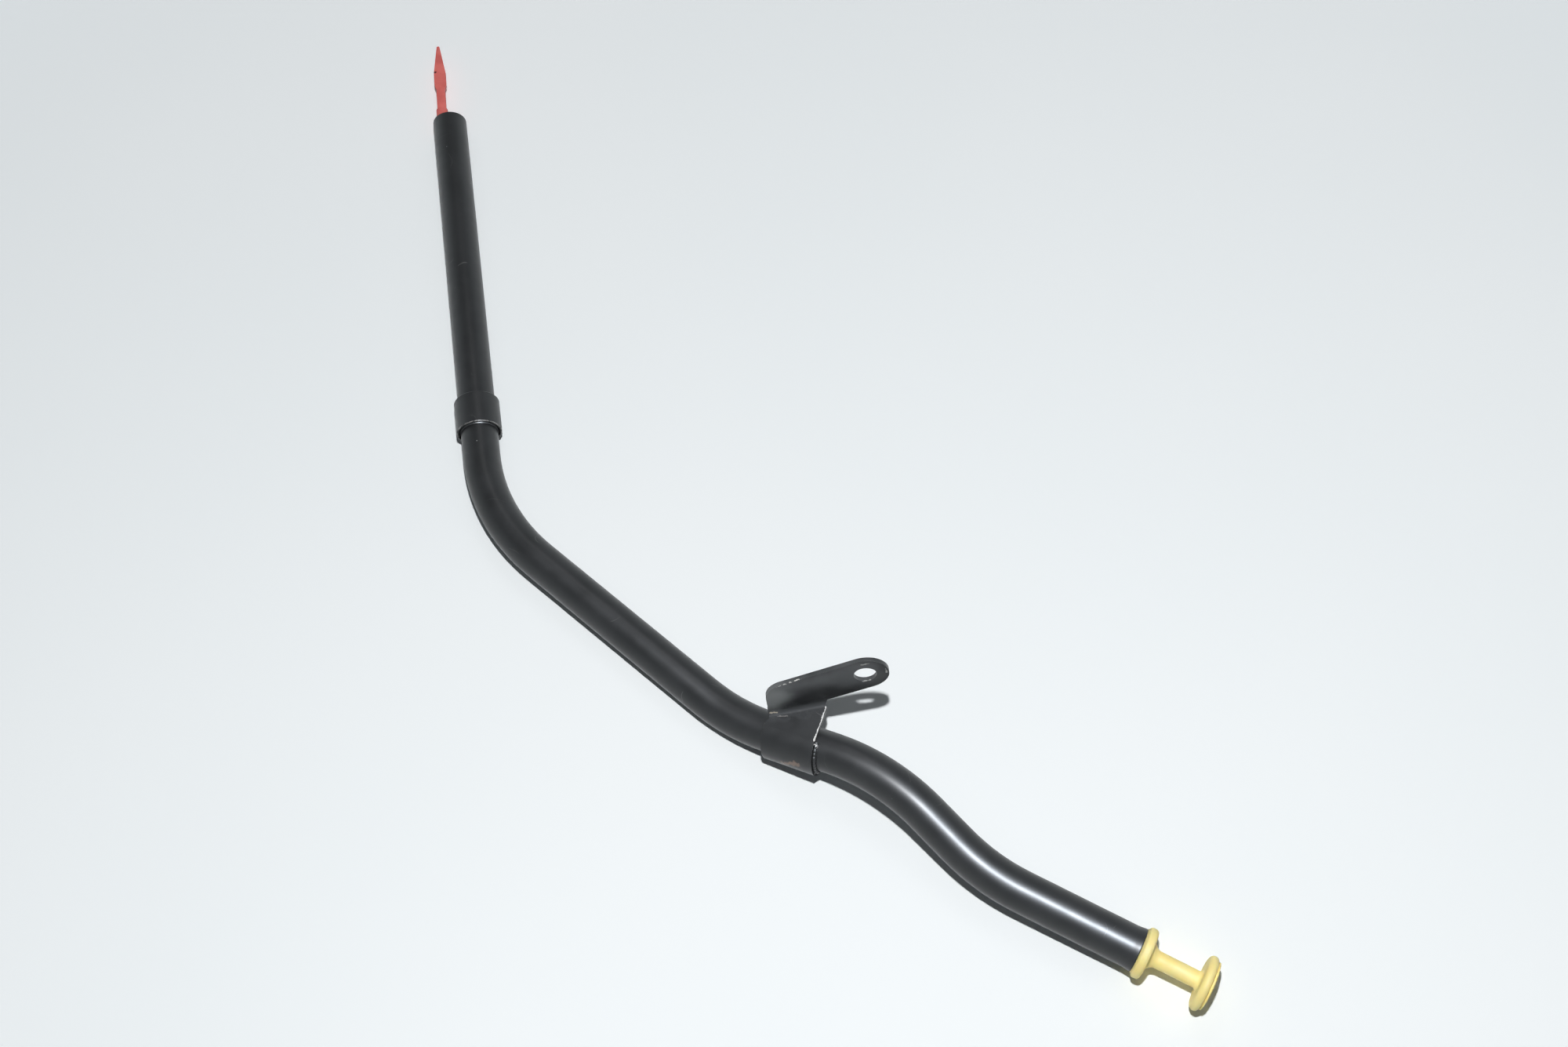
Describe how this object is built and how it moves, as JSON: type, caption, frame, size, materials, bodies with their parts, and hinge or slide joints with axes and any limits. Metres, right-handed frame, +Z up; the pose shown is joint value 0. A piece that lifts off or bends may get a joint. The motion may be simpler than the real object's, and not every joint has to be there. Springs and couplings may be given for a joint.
{
  "type": "engine oil dipstick with guide tube",
  "caption": "Bent black steel guide tube with a stop collar and a folded bolt bracket, holding a pull-out oil dipstick with a yellow spool handle and a red gauge tip.",
  "frame": {"origin": "centre of the part's plan box, on the surface that it lies on", "axes": "+Z up from that surface, +X along the handle's pull seen from above, +Y toward the lower end"},
  "size_m": [0.4474, 0.2414, 0.0462],
  "materials": {
    "black_steel": "semi-gloss black paint on steel, lightly scuffed",
    "yellow_plastic": "pale yellow moulded plastic with a soft gloss",
    "seal_rubber": "black rubber",
    "cable_steel": "bare close-wound steel cable",
    "red_plastic": "red moulded plastic, a little faded"
  },
  "bodies": {
    "tube": {"guide_tube": "black_steel", "stop_collar": "black_steel", "collar_braze": "black_steel", "bracket": "black_steel", "bracket_weld": "black_steel", "cable": "cable_steel"},
    "head": {"handle": "yellow_plastic", "plug_seal": "seal_rubber"},
    "tip": {"gauge_tip": "red_plastic"}
  },
  "joints": [
    {"name": "pull", "type": "slide", "parent": "tube", "child": "head", "axis": [0.9995, 0, -0.0317], "range_m": [0, 0.05], "deforming": ["cable"]},
    {"name": "tip_slide", "type": "slide", "parent": "tube", "child": "tip", "axis": [0.6087, -0.7933, 0.0109], "range_m": [0, 0.05], "deforming": ["cable"]}
  ],
  "couplings": [
    {"joint": "tip_slide", "follows": "pull", "ratio": 1}
  ]
}
